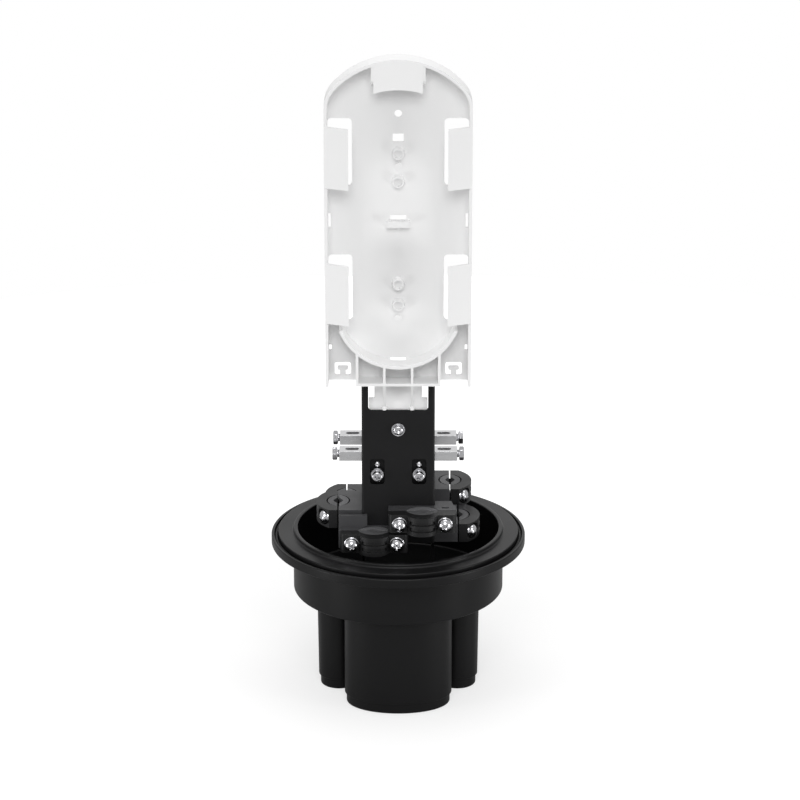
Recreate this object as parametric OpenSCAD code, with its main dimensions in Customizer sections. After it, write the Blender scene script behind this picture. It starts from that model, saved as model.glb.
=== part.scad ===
// Dome splice closure, opened: sealed base with cable ports, clamp bracket and fibre basket.
// Millimetres. The flange axis is Z, the front faces -Y, and the port ends stand on Z = 0.

/* [Base] */
// Outer radius of the flange
flange_r = 84; // [80:1:90]
// Height of the flange lip above the port ends
lip_z = 104.4; // [95:0.1:120]
// Height of the flange edge
flange_h = 6; // [4:0.5:9]
// Width of the narrow lip outside the seal groove
lip_w = 2; // [1.5:0.1:3]
// Width of the seal groove
groove_w = 2.6; // [2.2:0.1:3]
// Depth of the seal groove below the lip
groove_depth = 3.4; // [2.8:0.1:4]
// Height of the deck inside the groove above the lip
deck_rise = 2; // [1:0.1:3]
// Outer radius of the bowl
bowl_r = 69.5; // [66:0.5:72]
// Wall of the bowl
bowl_wall = 3; // [2.4:0.1:3.5]
// Depth of the bowl below the lip
bowl_depth = 38.2; // [34:0.1:44]
// Height of the raised rim above the lip
rim_rise = 4.4; // [3:0.1:6]
// Thickness of the bowl floor
floor_t = 3; // [2:0.1:4]

/* [Ports] */
// Half width of the oval port
oval_half_w = 35.3; // [33:0.1:37]
// Half depth of the oval port
oval_half_d = 23.3; // [21:0.1:24]
// Distance of the oval port in front of the axis
oval_y = 40; // [39:0.5:43]
// Radius of a round port at its root
port_r = 14.3; // [13:0.1:15]
// Radius that a round port loses towards its end
port_draft = 0.7; // [0:0.1:1.2]
// Wall of every port
port_wall = 2.4; // [2:0.1:3]
// Distance of the near round ports from the middle
near_port_x = 39.4; // [38:0.1:41]
// Distance of the near round ports in front of the axis
near_port_y = 10; // [8:0.5:12]
// Distance of the far round ports from the middle
far_port_x = 34.6; // [33:0.1:36]
// Distance of the far round ports behind the axis
far_port_y = 28; // [27:0.5:30]
// Height of the cut-off cap at the end of a port
port_cap_h = 7; // [5:0.5:9]
// Step in from the port wall to its cap
port_cap_step = 1.2; // [0.8:0.1:1.6]

/* [Bracket] */
// Outer half width of the bracket
bracket_half_w = 23.7; // [22.5:0.1:24]
// Thickness of the sheet steel
sheet_t = 1.5; // [1.2:0.1:2]
// Distance of the bracket front in front of the axis
bracket_front = 29.8; // [29:0.1:31]
// Height of the bracket top above the lip
bracket_top = 115.6; // [112:0.1:115.9]
// Height of the notch floor above the lip
notch_z = 96; // [94:0.5:98]
// Half width of the notch
notch_half_w = 19.3; // [18:0.1:20]
// Depth of the side walls that carry the bars
bar_wall_back = 21; // [19:0.5:24]
// Depth of the side walls that carry the clamps
clamp_wall_back = 44; // [40:0.5:46]
// Distance of the bolt windows from the middle
window_x = 13.6; // [12.5:0.1:14.5]
// Width of a bolt window
window_w = 9.6; // [9:0.1:10.5]
// Height of a bolt window
window_h = 17.6; // [16:0.1:19]
// Height of a window's lower edge above the lip
window_z = 44.8; // [43:0.1:46]

/* [Bars] */
// Half length of a strength member bar
bar_half_l = 38.4; // [36:0.1:40]
// Height of a bar
bar_h = 6.3; // [6:0.1:7.5]
// Depth of a bar
bar_d = 11; // [9:0.5:12]
// Height of the bar tops above the lip
bar_top = 65.3; // [63:0.1:67]
// Distance of the front bar's face in front of the axis
front_bar_y = 24; // [22.5:0.5:24.5]
// Distance between the two bars
bar_pitch = 30; // [26:0.5:32]
// Width of a bar's strength member hole
bar_hole_w = 9; // [7:0.1:10]
// Radius of the ends of that hole
bar_hole_r = 2.2; // [2:0.1:2.6]
// Distance of that hole from the middle
bar_hole_x = 30; // [29:0.1:30.5]

/* [Clamps] */
// Height of every clamp
clamp_h = 12.5; // [10:0.1:12.9]
// Height of the low clamps' tops above the lip
low_clamp_top = 16.2; // [15:0.1:16.4]
// Height of the high front clamp's top above the lip
high_front_top = 30; // [29.5:0.1:32]
// Height of the high side clamps' tops above the lip
high_side_top = 26; // [24:0.1:28]
// Gap between the halves of a clamp
slit = 0.9; // [0.6:0.1:1.4]
// Distance of the front cable axes in front of the axis
front_cable_y = 38.8; // [38.4:0.1:40]
// Distance of the front cable axes from the middle
front_cable_x = 15.6; // [15:0.1:16.5]
// Half length of a front clamp
front_half_l = 22; // [20:0.1:22.5]
// Half length of a side clamp
side_half_l = 17.6; // [17:0.1:18.4]
// Distance of a front clamp's screws from its cable
front_screw_s = 14.7; // [14.2:0.1:15.5]
// Distance of a side clamp's screws from its cable
side_screw_s = 13; // [12.8:0.1:13.4]
// Reach of a front cap from its cable
front_bulge = 15.4; // [14.5:0.1:16]
// Reach of a side cap from its cable
side_bulge = 14.3; // [13.5:0.1:15]
// Radius of the cable hole in the inserts
cable_r = 3.1; // [2.5:0.1:3.5]
// Half width of an insert pair across the slit
insert_half_w = 6.9; // [6.4:0.1:7.1]
// Half length of an insert pair along the slit
insert_half_l = 10.6; // [10:0.1:11]

/* [Basket] */
// Half width of the basket
basket_half_w = 46.5; // [44:0.1:48]
// Height of the basket top above the lip
basket_top = 330.5; // [320:0.5:345]
// Height of the basket's lower edge above the lip
basket_foot = 116.2; // [116:0.1:118]
// Distance of the basket rim in front of the axis
basket_rim_y = 42; // [40:0.5:44]
// Thickness of the basket walls
basket_wall = 2; // [1.6:0.1:2.4]
// Radius of the basket's arched top
arch_r = 56; // [52:0.5:60]
// Radius of the arch's shoulders
shoulder_r = 20; // [16:0.5:24]
// Height of a cable flap
flap_h = 39.4; // [34:0.1:40]
// Lower edge of the lower flaps above the lip
low_flap_z = 159; // [158:0.5:162]
// Lower edge of the upper flaps above the lip
high_flap_z = 248.2; // [244:0.5:249]
// Distance that a flap's free edge leans forward
flap_lean = 6; // [4:0.5:7]

/* [Hidden] */
CLAMPS = ["front_left", "front_right", "near_left", "near_right", "far_left", "far_right"];
$fn = 64;
over = 0.5;             // how far a cutter runs past the face that it opens
screw_play = 0.08;      // radial clearance of a screw in its hole
seat_gap = 0.3;         // gap between parts that face each other without touching

// ---- Base ----
floor_z = lip_z - bowl_depth + floor_t;   // top of the bowl floor
rim_r = bowl_r - 0.2;                     // outer radius of the raised rim
groove_out = flange_r - lip_w;
groove_in = groove_out - groove_w;
rim_fillet = 1.8;                         // fillet between deck and rim
edge_bevel = 0.5;                         // bevel on the flange and bowl edges
boss_h = 4;                               // height of the floor bosses
boss_r = 4.5;
foot_screw_x = 15;
foot_screw_y = 9;

// Profile of the bowl and flange, revolved about Z
module bowl_profile() {
    top = lip_z + deck_rise;
    difference() {
        polygon([
            [0, lip_z - bowl_depth], [bowl_r - 2 * edge_bevel, lip_z - bowl_depth],
            [bowl_r, lip_z - bowl_depth + 2 * edge_bevel], [bowl_r, lip_z - flange_h],
            [flange_r - edge_bevel, lip_z - flange_h], [flange_r, lip_z - flange_h + edge_bevel],
            [flange_r, lip_z - edge_bevel], [flange_r - edge_bevel, lip_z], [groove_out, lip_z],
            [groove_out, lip_z - groove_depth], [groove_in, lip_z - groove_depth],
            [groove_in, top - edge_bevel], [groove_in - edge_bevel, top],
            [rim_r + rim_fillet, top], [rim_r, top + rim_fillet],
            [rim_r, lip_z + rim_rise - edge_bevel], [rim_r - edge_bevel, lip_z + rim_rise],
            [bowl_r - bowl_wall, lip_z + rim_rise], [bowl_r - bowl_wall, floor_z], [0, floor_z]
        ]);
        translate([rim_r + rim_fillet, top + rim_fillet]) circle(r = rim_fillet);
    }
}

// An upright oval column with half axes a and b
module oval(a, b, h) {
    scale([1, b / a, 1]) cylinder(r = a, h = h);
}

module at_round_ports() {
    for (side = [-1, 1]) {
        translate([side * near_port_x, -near_port_y, 0]) children();
        translate([side * far_port_x, far_port_y, 0]) children();
    }
}

module at_foot_screws() {
    for (x = [-1, 1], y = [-1, 1]) translate([x * foot_screw_x, y * foot_screw_y, 0]) children();
}

module base() {
    root_z = lip_z - bowl_depth;
    port_h = root_z - port_cap_h + over;
    color([0.05, 0.05, 0.055]) difference() {
        union() {
            rotate_extrude() bowl_profile();
            translate([0, -oval_y, port_cap_h]) oval(oval_half_w, oval_half_d, port_h);
            translate([0, -oval_y, edge_bevel])
                oval(oval_half_w - port_cap_step, oval_half_d - port_cap_step, port_cap_h);
            translate([0, -oval_y, 0])
                oval(oval_half_w - port_cap_step - edge_bevel,
                     oval_half_d - port_cap_step - edge_bevel, port_cap_h);
            at_round_ports() {
                translate([0, 0, port_cap_h])
                    cylinder(r1 = port_r - port_draft, r2 = port_r, h = port_h);
                translate([0, 0, edge_bevel])
                    cylinder(r = port_r - port_draft - port_cap_step, h = port_cap_h);
                cylinder(r = port_r - port_draft - port_cap_step - edge_bevel, h = port_cap_h);
            }
            at_foot_screws() translate([0, 0, floor_z - over]) cylinder(r = boss_r, h = boss_h + over);
        }
        translate([0, -oval_y, port_wall])
            oval(oval_half_w - port_cap_step - port_wall, oval_half_d - port_cap_step - port_wall,
                 floor_z);
        at_round_ports() translate([0, 0, port_wall])
            cylinder(r = port_r - port_draft - port_cap_step - port_wall, h = floor_z);
        at_foot_screws() translate([0, 0, floor_z - 1]) cylinder(r = foot_screw_r + screw_play, h = boss_h + 2);
    }
}

// Round seal lying in the bottom of the groove
module seal_ring() {
    r = groove_w / 2 - 0.1;
    color([0.02, 0.02, 0.02]) translate([0, 0, lip_z - groove_depth + r])
        rotate_extrude() translate([(groove_in + groove_out) / 2, 0]) circle(r = r);
}

// ---- Fasteners ----
foot_screw_r = 2;
pan_r = 3.6;

// Cross recess for a driver, cut down from z = 0
module cross_recess(size, depth) {
    for (a = [0, 90]) rotate([0, 0, a])
        translate([-size / 2, -size / 8, -depth]) cube([size, size / 4, depth + over]);
}

// Pan head screw with its seat at z = 0, head up and shank down
module pan_screw(shank_r, head_r, head_h, shank_l) {
    dome_r = (head_r * head_r + head_h * head_h) / (2 * head_h);
    difference() {
        union() {
            translate([0, 0, -shank_l]) cylinder(r = shank_r, h = shank_l + over);
            intersection() {
                cylinder(r = head_r, h = head_h);
                translate([0, 0, head_h - dome_r]) sphere(r = dome_r);
            }
        }
        translate([0, 0, head_h]) cross_recess(head_r * 1.1, head_h * 0.6);
    }
}

// Hexagon bolt with its seat at z = 0, head up and shank down
module hex_bolt(shank_r, flats, head_h, shank_l) {
    corner_r = flats / 2 / cos(30);
    translate([0, 0, -shank_l]) cylinder(r = shank_r, h = shank_l + over);
    intersection() {
        cylinder(r = corner_r, h = head_h, $fn = 6);
        cylinder(r1 = corner_r + head_h * 0.8, r2 = corner_r - 0.55, h = head_h);
    }
}

// ---- Bracket ----
foot_z = floor_z + boss_h;                // underside of the bracket's feet
plate_z = lip_z + low_clamp_top - clamp_h;// lower edge of the front plate
clamp_wall_top = lip_z + high_front_top + 2;
bar_wall_top = lip_z + bar_top + 1;
leg_half_d = 14;
foot_in = 9;                              // inner edge of each foot
flange_d = 5;                             // depth of the flanges beside the notch
bend_r = 1.5;
bar_play = 0.1;
basket_screw_z = lip_z + 82.8;
basket_screw_r = 2.5;

// Front plate outline in X and Z, with rounded inner corners at the notch
module plate_outline() {
    r = 2;
    difference() {
        translate([-bracket_half_w, plate_z]) square([2 * bracket_half_w, lip_z + bracket_top - plate_z]);
        translate([-notch_half_w + r, lip_z + notch_z]) square([2 * (notch_half_w - r), bracket_top]);
        translate([-notch_half_w, lip_z + notch_z + r]) square([2 * notch_half_w, bracket_top]);
        for (side = [-1, 1]) {
            translate([side * (notch_half_w - r), lip_z + notch_z + r]) circle(r = r);
            translate([side * window_x, lip_z + window_z]) rounded_window(window_w, window_h, 2);
        }
        translate([0, basket_screw_z]) circle(r = basket_screw_r + screw_play);
    }
}

// Upright rectangle with rounded corners, centred on X and standing on Y = 0
module rounded_window(w, h, r) {
    translate([-w / 2 + r, 0]) square([w - 2 * r, h]);
    translate([-w / 2, r]) square([w, h - 2 * r]);
    for (x = [-1, 1], y = [r, h - r]) translate([x * (w / 2 - r), y]) circle(r = r);
}

// One side wall seen from +X, drawn in Y and Z
module side_wall_outline() {
    front = -bracket_front;
    difference() {
        union() {
            translate([front, plate_z]) square([bracket_front + clamp_wall_back, clamp_wall_top - plate_z]);
            translate([front, plate_z]) square([bracket_front + bar_wall_back, bar_wall_top - plate_z]);
            translate([front, plate_z]) square([flange_d, lip_z + bracket_top - plate_z]);
            translate([-leg_half_d, foot_z]) square([2 * leg_half_d, plate_z - foot_z + over]);
        }
        for (k = [0, 1])
            translate([-front_bar_y + k * bar_pitch - bar_play, lip_z + bar_top - bar_h])
                square([bar_d + 2 * bar_play, 2 * bar_h]);
    }
}

// Lays an outline drawn in X and Z at depth y, t thick towards +Y
module upright(y, t) {
    translate([0, y + t, 0]) rotate([90, 0, 0]) linear_extrude(t) children();
}

// Stands an outline drawn in Y and Z at x, t thick towards +X
module sideways(x, t) {
    translate([x, 0, 0]) rotate([90, 0, 90]) linear_extrude(t) children();
}

module bracket() {
    color([0.14, 0.14, 0.15]) difference() {
        union() {
            upright(-bracket_front, sheet_t) plate_outline();
            sideways(-bracket_half_w, sheet_t) side_wall_outline();
            sideways(bracket_half_w - sheet_t, sheet_t) side_wall_outline();
            for (side = [-1, 1])
                translate([side * (bracket_half_w + foot_in) / 2, 0, foot_z + sheet_t / 2])
                    cube([bracket_half_w - foot_in, 2 * leg_half_d, sheet_t], center = true);
        }
        at_foot_screws() translate([0, 0, foot_z - over]) cylinder(r = foot_screw_r + screw_play, h = sheet_t + 2 * over);
        at_seat_screws() translate([0, 0, -over]) cylinder(r = seat_screw_r + screw_play, h = sheet_t + 2 * over);
        for (side = [-1, 1])      // round the folds beside the front plate
            translate([side * bracket_half_w, -bracket_front, 0]) fold_relief(side);
    }
}

// What is cut from a square outer corner to leave a folded radius
module fold_relief(side) {
    h = lip_z + bracket_top + over;
    difference() {
        translate([-bend_r, -bend_r, 0]) cube([2 * bend_r, 2 * bend_r, h]);
        translate([-side * bend_r, bend_r, -over]) cylinder(r = bend_r, h = h + 2 * over);
        translate([side > 0 ? -2 * bend_r - bend_r : bend_r, -2 * bend_r, -over]) cube([2 * bend_r, 4 * bend_r, h + 2 * over]);
    }
}

module bracket_screws() {
    color("silver") at_foot_screws() translate([0, 0, foot_z + sheet_t])
        pan_screw(foot_screw_r, pan_r, 2.4, boss_h + sheet_t - 0.5);
}

// ---- Strength member bars ----
bar_bolt_r = 2.5;
bar_bolt_gap = 1.3;                        // bare thread between bolt head and bar
bar_mid_z = lip_z + bar_top - bar_h / 2;
lug_w = 10.4;
lug_z = 43;                                // foot of a lug above the lip
lug_ledge_z = 54.7;                        // ledge where a lug steps forward
lug_front = bracket_front - sheet_t - seat_gap;
lug_bolt_z = lip_z + 50.2;
lug_screw_z = lip_z + 57.1;
lug_screw_r = 1.25;
member_r = 2.6;                            // hole for a strength member in a lug

module bar_blank() {
    difference() {
        translate([-bar_half_l, 0, lip_z + bar_top - bar_h]) cube([2 * bar_half_l, bar_d, bar_h]);
        for (side = [-1, 1]) {
            translate([side * bar_hole_x, bar_d / 2, 0]) linear_extrude(2 * lip_z) {
                square([bar_hole_w - 2 * bar_hole_r, 2 * bar_hole_r], center = true);
                for (k = [-1, 1]) translate([k * (bar_hole_w / 2 - bar_hole_r), 0]) circle(r = bar_hole_r);
            }
            translate([side * bar_hole_x, bar_d / 2, bar_mid_z]) rotate([0, side * 90, 0])
                cylinder(r = bar_bolt_r + screw_play, h = bar_half_l);
        }
    }
}

module front_bar() {
    mid_y = bar_d / 2 - front_bar_y;
    color([0.72, 0.72, 0.73]) difference() {
        union() {
            translate([0, -front_bar_y, 0]) bar_blank();
            for (side = [-1, 1]) translate([side * window_x - lug_w / 2, 0, lip_z]) {
                translate([0, -front_bar_y, lug_ledge_z - over]) cube([lug_w, bar_d, bar_top - lug_ledge_z - bar_h + 2 * over]);
                translate([0, -lug_front, lug_z]) cube([lug_w, lug_front - front_bar_y + bar_d, lug_ledge_z - lug_z]);
            }
        }
        for (side = [-1, 1]) {
            translate([side * window_x, mid_y, lip_z]) cylinder(r = member_r, h = 2 * lug_ledge_z);
            translate([side * window_x, mid_y, lug_bolt_z]) rotate([90, 0, 0])
                cylinder(r = bar_bolt_r + screw_play, h = bar_pitch);
            translate([side * window_x, -front_bar_y + 3, lug_screw_z]) rotate([90, 0, 0])
                cylinder(r = lug_screw_r + screw_play, h = 2 * bar_pitch);
        }
    }
}

module rear_bar() {
    color([0.72, 0.72, 0.73]) translate([0, bar_pitch - front_bar_y, 0]) bar_blank();
}

module bar_bolt(side, row) {
    reach = bar_half_l - bar_hole_x - bar_hole_w / 2;
    color([0.8, 0.8, 0.8])
        translate([side * (bar_half_l + bar_bolt_gap), bar_d / 2 - front_bar_y + row * bar_pitch, bar_mid_z])
            rotate([0, side * 90, 0]) hex_bolt(bar_bolt_r, 8, 3.2, bar_bolt_gap + reach);
}

module lug_bolt(side) {
    reach = lug_front - front_bar_y + bar_d / 2 - member_r;
    color([0.8, 0.8, 0.8])
        translate([side * window_x, -lug_front - seat_gap, lug_bolt_z]) rotate([90, 0, 0]) difference() {
            hex_bolt(bar_bolt_r, 7, 3.4, reach);
            translate([0, 0, 3.4]) cross_recess(4.6, 1.6);
        }
}

module bar_lug_screws() {
    color([0.8, 0.8, 0.8]) for (side = [-1, 1])
        translate([side * window_x, -front_bar_y, lug_screw_z]) rotate([90, 0, 0])
            pan_screw(lug_screw_r, 2, 1.8, 2.5);
}

// ---- Clamps ----
// A clamp is drawn with its cable axis on Z, its slit along X and its cap towards -Y.
seat_screw_r = 1.5;
seat_screw_head_r = 2.8;
seat_screw_s = 8.5;
seat_screw_rise = 3.3;                     // half the height between a front seat's two screws
seat_screw_reach = 3.5;                    // length of a seat screw inside its seat
cap_screw_r = 2;
cap_screw_reach = 7.5;                     // length of a cap screw past the slit
head_r = 4.6;
washer_r = 4.85;
washer_h = 1.1;
head_h = 2.4;
head_dome = 2.7;
front_bulge_r = 10.6;                      // round of a front cap's bulge
front_ear = 8;                             // face of a front cap's ears from its cable
side_ear = 6;                              // face of a side cap's ears from its cable
counterbore_r = 5.2;
rib_groove_h = 2.6;
rib_groove_d = 1.6;
pocket_gap = 0.9;                          // relief round the inserts where they show
pocket_lip_h = 2;                          // depth of that relief
insert_slit = 1.1;                         // gap between the halves of an insert

// [angle, x, y, top, front or side]: the place of each clamp
function clamp_place(c) =
    c == "front_left" ? [0, -front_cable_x, -front_cable_y, low_clamp_top] :
    c == "front_right" ? [0, front_cable_x, -front_cable_y, high_front_top] :
    c == "near_left" ? [-90, -near_port_x, -near_port_y, high_side_top] :
    c == "near_right" ? [90, near_port_x, -near_port_y, low_clamp_top] :
    c == "far_left" ? [-90, -far_port_x, far_port_y, low_clamp_top] :
    [90, far_port_x, far_port_y, high_side_top];
function is_front(c) = c == "front_left" || c == "front_right";
function screw_s(c) = is_front(c) ? front_screw_s : side_screw_s;
function half_l(c) = is_front(c) ? front_half_l : side_half_l;
function ear(c) = is_front(c) ? front_ear : side_ear;
// distance from the cable axis back to the bracket
function seat_depth(c) =
    is_front(c) ? front_cable_y - bracket_front :
    abs(clamp_place(c)[1]) - bracket_half_w;

module place_clamp(c) {
    p = clamp_place(c);
    translate([p[1], p[2], lip_z + p[3] - clamp_h]) rotate([0, 0, p[0]]) children();
}

// Radius of the arc through (0, reach) and (half, base)
function arc_radius(half, base, reach) = (half * half + pow(reach - base, 2)) / (2 * (reach - base));

// Two arcs that meet on the slit: the outline of an insert pair or of its pocket
module insert_outline(half_w, half_len) {
    r = arc_radius(half_len, 0, half_w);
    intersection_for(k = [-1, 1]) translate([0, k * (r - half_w)]) circle(r = r);
}

// Both cap halves keep a close seat in the middle and a wider relief at each face
module insert_pocket() {
    translate([0, 0, -over]) linear_extrude(clamp_h + 2 * over)
        insert_outline(insert_half_w + 0.05, insert_half_l + 0.05);
    for (z = [-over, clamp_h - pocket_lip_h]) translate([0, 0, z])
        linear_extrude(pocket_lip_h + over)
            insert_outline(insert_half_w + pocket_gap, insert_half_l + 0.05);
}

module at_cap_screws(c) {
    for (side = [-1, 1]) translate([side * screw_s(c), 0, clamp_h / 2]) rotate([90, 0, 0]) children();
}

// Outline of a front cap: straight ears with a round bulge between them
module front_cap_outline() {
    ear_r = 3;
    difference() {
        union() {
            translate([-front_half_l + ear_r, -front_ear]) square([2 * (front_half_l - ear_r), front_ear]);
            translate([-front_half_l, -front_ear + ear_r]) square([2 * front_half_l, front_ear - ear_r]);
            for (side = [-1, 1]) translate([side * (front_half_l - ear_r), -front_ear + ear_r])
                circle(r = ear_r);
            translate([0, front_bulge_r - front_bulge]) circle(r = front_bulge_r);
        }
        translate([-2 * front_half_l, -slit / 2]) square([4 * front_half_l, 2 * front_bulge]);
    }
}

// Outline of a side cap: square ends joined by one long arc
module side_cap_outline() {
    r = arc_radius(side_half_l, side_ear, side_bulge);
    intersection() {
        translate([0, r - side_bulge]) circle(r = r);
        translate([-side_half_l, -2 * side_bulge]) square([2 * side_half_l, 2 * side_bulge - slit / 2]);
    }
}

module cap_body(front) {
    if (front) linear_extrude(clamp_h) front_cap_outline();
    else linear_extrude(clamp_h) side_cap_outline();
}

module clamp_cap(c) {
    front = is_front(c);
    groove_w2 = front ? 16.4 : 13;
    reach = front ? front_bulge : side_bulge;
    color([0.12, 0.12, 0.125]) place_clamp(c) difference() {
        cap_body(front);
        insert_pocket();
        at_cap_screws(c) cylinder(r = cap_screw_r + screw_play, h = 4 * reach, center = true);
        at_cap_screws(c) translate([0, 0, ear(c)]) cylinder(r = counterbore_r, h = reach);
        for (k = [-1, 1])          // two grooves leave three ribs on the bulge
            translate([0, 0, clamp_h / 2 + k * 2.2 - rib_groove_h / 2]) linear_extrude(rib_groove_h) difference() {
                translate([-groove_w2 / 2, -2 * reach]) square([groove_w2, 2 * reach - insert_half_w - 2]);
                translate([0, rib_groove_d]) rib_floor(front);
            }
    }
}

// Floor of the rib grooves, a little inside the bulge
module rib_floor(front) {
    if (front) translate([0, front_bulge_r - front_bulge]) circle(r = front_bulge_r);
    else {
        r = arc_radius(side_half_l, side_ear, side_bulge);
        translate([0, r - side_bulge]) circle(r = r);
    }
}

// Fixed half of a front clamp, screwed to the front plate
module front_seat_outline(left) {
    depth = seat_depth("front_left");
    wrap_y = depth + 8.3;
    square_from([-front_half_l - (left ? 1.2 : 0), slit / 2], [front_half_l, depth]);
    if (!left)                     // the high seat reaches back round the bracket's corner
        polygon([
            [bracket_half_w + seat_gap - front_cable_x, slit / 2],
            [front_half_l, slit / 2], [front_half_l - 0.3, depth / 3], [front_half_l - 2.8, wrap_y],
            [bracket_half_w + seat_gap - front_cable_x, wrap_y]
        ]);
}

module square_from(a, b) {
    translate(a) square([b[0] - a[0], b[1] - a[1]]);
}

module clamp_seat(c) {
    front = is_front(c);
    depth = seat_depth(c);
    tab_t = 3.2;
    tab_h = 8;
    color([0.22, 0.22, 0.23]) place_clamp(c) difference() {
        union() {
            linear_extrude(clamp_h)
                if (front) front_seat_outline(c == "front_left");
                else square_from([-side_half_l, slit / 2], [side_half_l, depth]);
            if (c == "front_left")  // raised tab at the outer end
                translate([-front_half_l - 1.2, depth - tab_t, clamp_h - over])
                    cube([18.6, tab_t, tab_h + over]);
        }
        insert_pocket();
        at_cap_screws(c) translate([0, 0, -cap_screw_reach - 0.5])
            cylinder(r = cap_screw_r + screw_play, h = cap_screw_reach + 2);
        at_own_seat_screws(c) translate([0, 0, -seat_screw_reach - 0.5])
            cylinder(r = seat_screw_r + screw_play, h = seat_screw_reach + 0.5 + over);
        if (c == "front_right")     // slotted hole in the reach round the corner
            translate([front_half_l - 7, 5.2, -over]) linear_extrude(2 * clamp_h) {
                square([3, 2.2], center = true);
                for (k = [-1, 1]) translate([1.5 * k, 0]) circle(r = 1.1);
            }
    }
}

// Half of an insert pair; side is -1 for the cap's half and 1 for the seat's
module insert_half(c, side) {
    color([0.3, 0.3, 0.31]) place_clamp(c) linear_extrude(clamp_h) difference() {
        insert_outline(insert_half_w, insert_half_l);
        circle(r = cable_r);
        // flats that open the hole towards the slit
        tip = 2 * cable_r;
        polygon([[-tip, 0], [-cable_r / 2, cable_r * sqrt(3) / 2], [cable_r / 2, cable_r * sqrt(3) / 2],
            [tip, 0], [cable_r / 2, -cable_r * sqrt(3) / 2], [-cable_r / 2, -cable_r * sqrt(3) / 2]]);
        translate([-2 * insert_half_l, side > 0 ? -2 * insert_half_w : -insert_slit / 2])
            square([4 * insert_half_l, 2 * insert_half_w + insert_slit / 2]);
    }
}

// Washer-faced screw with its seat at z = 0
module cap_screw(shank_l) {
    dome_r = (head_r * head_r + head_dome * head_dome) / (2 * head_dome);
    top = washer_h + head_h + head_dome;
    difference() {
        union() {
            translate([0, 0, -shank_l]) cylinder(r = cap_screw_r, h = shank_l + over);
            cylinder(r = washer_r, h = washer_h);
            cylinder(r = head_r - 0.5, h = washer_h + over);
            translate([0, 0, washer_h + 0.35]) cylinder(r = head_r, h = head_h - 0.35);
            intersection() {
                translate([0, 0, washer_h]) cylinder(r = head_r, h = head_h + head_dome);
                translate([0, 0, top - dome_r]) sphere(r = dome_r);
            }
        }
        translate([0, 0, top]) cross_recess(head_r * 1.05, 2);
    }
}

module cap_screws(c) {
    color([0.78, 0.78, 0.79]) place_clamp(c) at_cap_screws(c) translate([0, 0, ear(c)])
        cap_screw(ear(c) + cap_screw_reach);
}

// Screws that hold the seats, put in from inside the bracket: heads on its inner faces
module at_seat_screws() {
    for (c = CLAMPS) place_clamp(c) at_own_seat_screws(c) children();
}

// The two seat screws of one clamp: side by side at the sides, one above the other in front
module at_own_seat_screws(c) {
    for (k = [-1, 1]) {
        s = c == "front_left" ? seat_screw_s : c == "front_right" ? -seat_screw_s : k * seat_screw_s;
        rise = is_front(c) ? k * seat_screw_rise : 0;
        translate([s, seat_depth(c), clamp_h / 2 + rise]) rotate([-90, 0, 0]) children();
    }
}

module clamp_seat_screws() {
    color("silver") at_seat_screws() translate([0, 0, sheet_t])
        pan_screw(seat_screw_r, seat_screw_head_r, 2, sheet_t + seat_screw_reach);
}

// ---- Basket ----
back_y = bracket_front - sheet_t - seat_gap;   // front face of the basket's back wall
basket_depth = basket_rim_y - back_y;
arch_z = lip_z + basket_top;
tongue_foot = lip_z + 74;
tongue_narrow = 15.4;
tongue_wide = 18.9;
tongue_step = lip_z + 103.8;
guide_r = 40.7;                                // outer radius of the fibre guide
guide_z = lip_z + 168.7;                       // its centre
guide_half_angle = 68;
guide_slot_w = 9.8;
frame_half_w = 27.2;
frame_z = lip_z + basket_foot + 0.4;
rib_x = 8.9;
rib_t = 1.7;
slot_in = 29.1;                                // inner edge of the slots behind the flaps
slot_above = 2.2;
slot_below = 2.1;

// Arched outline in X and Z, inset by d
module basket_outline(d) {
    half = basket_half_w - d;
    sr = shoulder_r - d;
    big = arch_r - d;
    sx = half - sr;
    apex = arch_z - d;
    dz = sqrt(pow(big - sr, 2) - sx * sx);
    sz = apex - big + dz;                      // height of the shoulder centres
    foot = lip_z + basket_foot;
    k = big / (big - sr);
    translate([-half, foot]) square([2 * half, sz - foot]);
    for (side = [-1, 1]) translate([side * sx, sz]) circle(r = sr);
    intersection() {
        translate([0, apex - big]) circle(r = big);
        polygon([[0, apex - big], [sx * k, sz + dz * (k - 1)], [sx * k, apex + 1],
            [-sx * k, apex + 1], [-sx * k, sz + dz * (k - 1)]]);
    }
    polygon([[0, apex - big], [sx, sz], [sx * k, sz + dz * (k - 1)], [0, apex - over],
        [-sx * k, sz + dz * (k - 1)], [-sx, sz]]);
}

module basket_holes() {
    z0 = lip_z;
    translate([0, z0 + 292.7]) circle(r = 2.45);
    translate([0, z0 + 274.5]) translate([-3.5, 0]) square([7, 5.3]);
    translate([0, z0 + 223]) translate([-5, 0]) square([10, 3.6]);
    for (side = [-1, 1]) {
        for (z = [low_flap_z, high_flap_z])
            translate([side * (slot_in + basket_half_w - basket_wall) / 2, z0 + z - slot_below])
                rounded_window(basket_half_w - basket_wall - slot_in, flap_h + slot_above + slot_below, 2.5);
        translate([side * (basket_half_w - basket_wall - 1) - 0.8, z0 + 218.4]) square([1.6, 9.4]);
        translate([side * (basket_half_w - basket_wall - 1) - 0.8, z0 + 136.6]) square([1.6, 3.6]);
        translate([side * 35.6, z0 + 119.6]) difference() {
            rounded_window(10.4, 8.6, 1.3);
            translate([-1.9, -over]) square([3.8, 5]);
            translate([0, 3.4]) rounded_window(6.9, 2.6, 0.9);
        }
    }
}

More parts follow.
